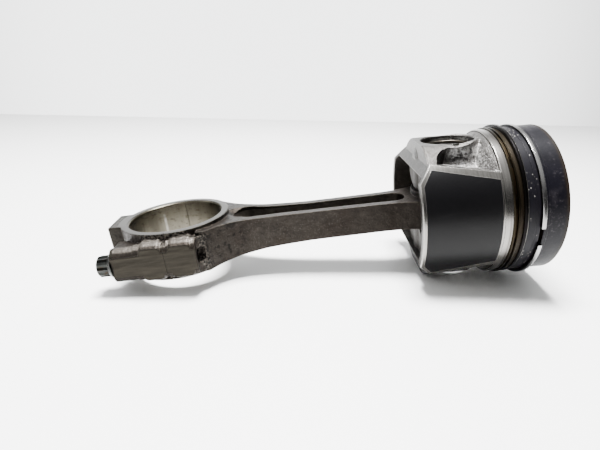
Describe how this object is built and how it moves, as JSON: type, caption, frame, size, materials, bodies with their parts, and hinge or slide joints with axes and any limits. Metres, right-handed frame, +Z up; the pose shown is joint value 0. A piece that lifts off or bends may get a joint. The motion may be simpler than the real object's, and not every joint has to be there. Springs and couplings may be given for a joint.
{
  "type": "piston and connecting rod",
  "caption": "Diesel engine piston with bowl crown, rings and coated skirt, on a full-floating wrist pin and a fracture-split forged connecting rod with bolted cap.",
  "frame": {"origin": "on the bench, under the middle of the whole part as it lies", "axes": "+Z up; +X along the part from the big end to the crown; +Y across, away from the side it is usually seen from. The part lies on its big end cap and ring belt, so its plane leans 7.65 degrees about Y."},
  "size_m": [0.241, 0.087, 0.0853],
  "materials": {
    "piston_alloy": "cast, turned lands, graphite-printed skirt",
    "carrier_iron": "turned, sooted",
    "ring_steel": "lapped face, dark flanks",
    "ring_iron": "phosphated, worn bright at its edge",
    "oil_ring_steel": "varnished by oil",
    "spring_steel": "bright drawn wire",
    "pin_steel": "ground",
    "rod_steel": "forged and shot-peened, ground faces",
    "bush_bronze": "bored",
    "bolt_steel": "black oxide"
  },
  "bodies": {
    "rod": {"connecting_rod": "rod_steel", "small_end_bush": "bush_bronze", "rod_cap": "rod_steel", "cap_bolts": "bolt_steel"},
    "pin": {"wrist_pin": "pin_steel"},
    "piston": {"piston": "piston_alloy", "ring_carrier": "carrier_iron", "circlips": "spring_steel"},
    "top_ring": {"top_ring": "ring_steel"},
    "second_ring": {"second_ring": "ring_iron"},
    "oil_ring": {"oil_ring": "oil_ring_steel", "oil_ring_spring": "spring_steel"}
  },
  "joints": [
    {"name": "pin_spin", "type": "hinge", "parent": "rod", "child": "pin", "pos_m": [0.06777, 0.00128, 0.03935], "axis": [-0.1331, 0, 0.9911], "continuous": true},
    {"name": "piston_swing", "type": "hinge", "parent": "rod", "child": "piston", "pos_m": [0.06777, 0.00128, 0.03935], "axis": [-0.1331, 0, 0.9911], "range_deg": [-35.1, 44.9]},
    {"name": "top_ring_spin", "type": "hinge", "parent": "piston", "child": "top_ring", "pos_m": [0.10182, -0.00166, 0.04352], "axis": [0.9875, -0.0854, 0.1326], "continuous": true},
    {"name": "second_ring_spin", "type": "hinge", "parent": "piston", "child": "second_ring", "pos_m": [0.09354, -0.00096, 0.04362], "axis": [0.9875, -0.0854, 0.1326], "continuous": true},
    {"name": "oil_ring_spin", "type": "hinge", "parent": "piston", "child": "oil_ring", "pos_m": [0.08952, -0.00061, 0.04227], "axis": [0.9875, -0.0854, 0.1326], "continuous": true}
  ]
}
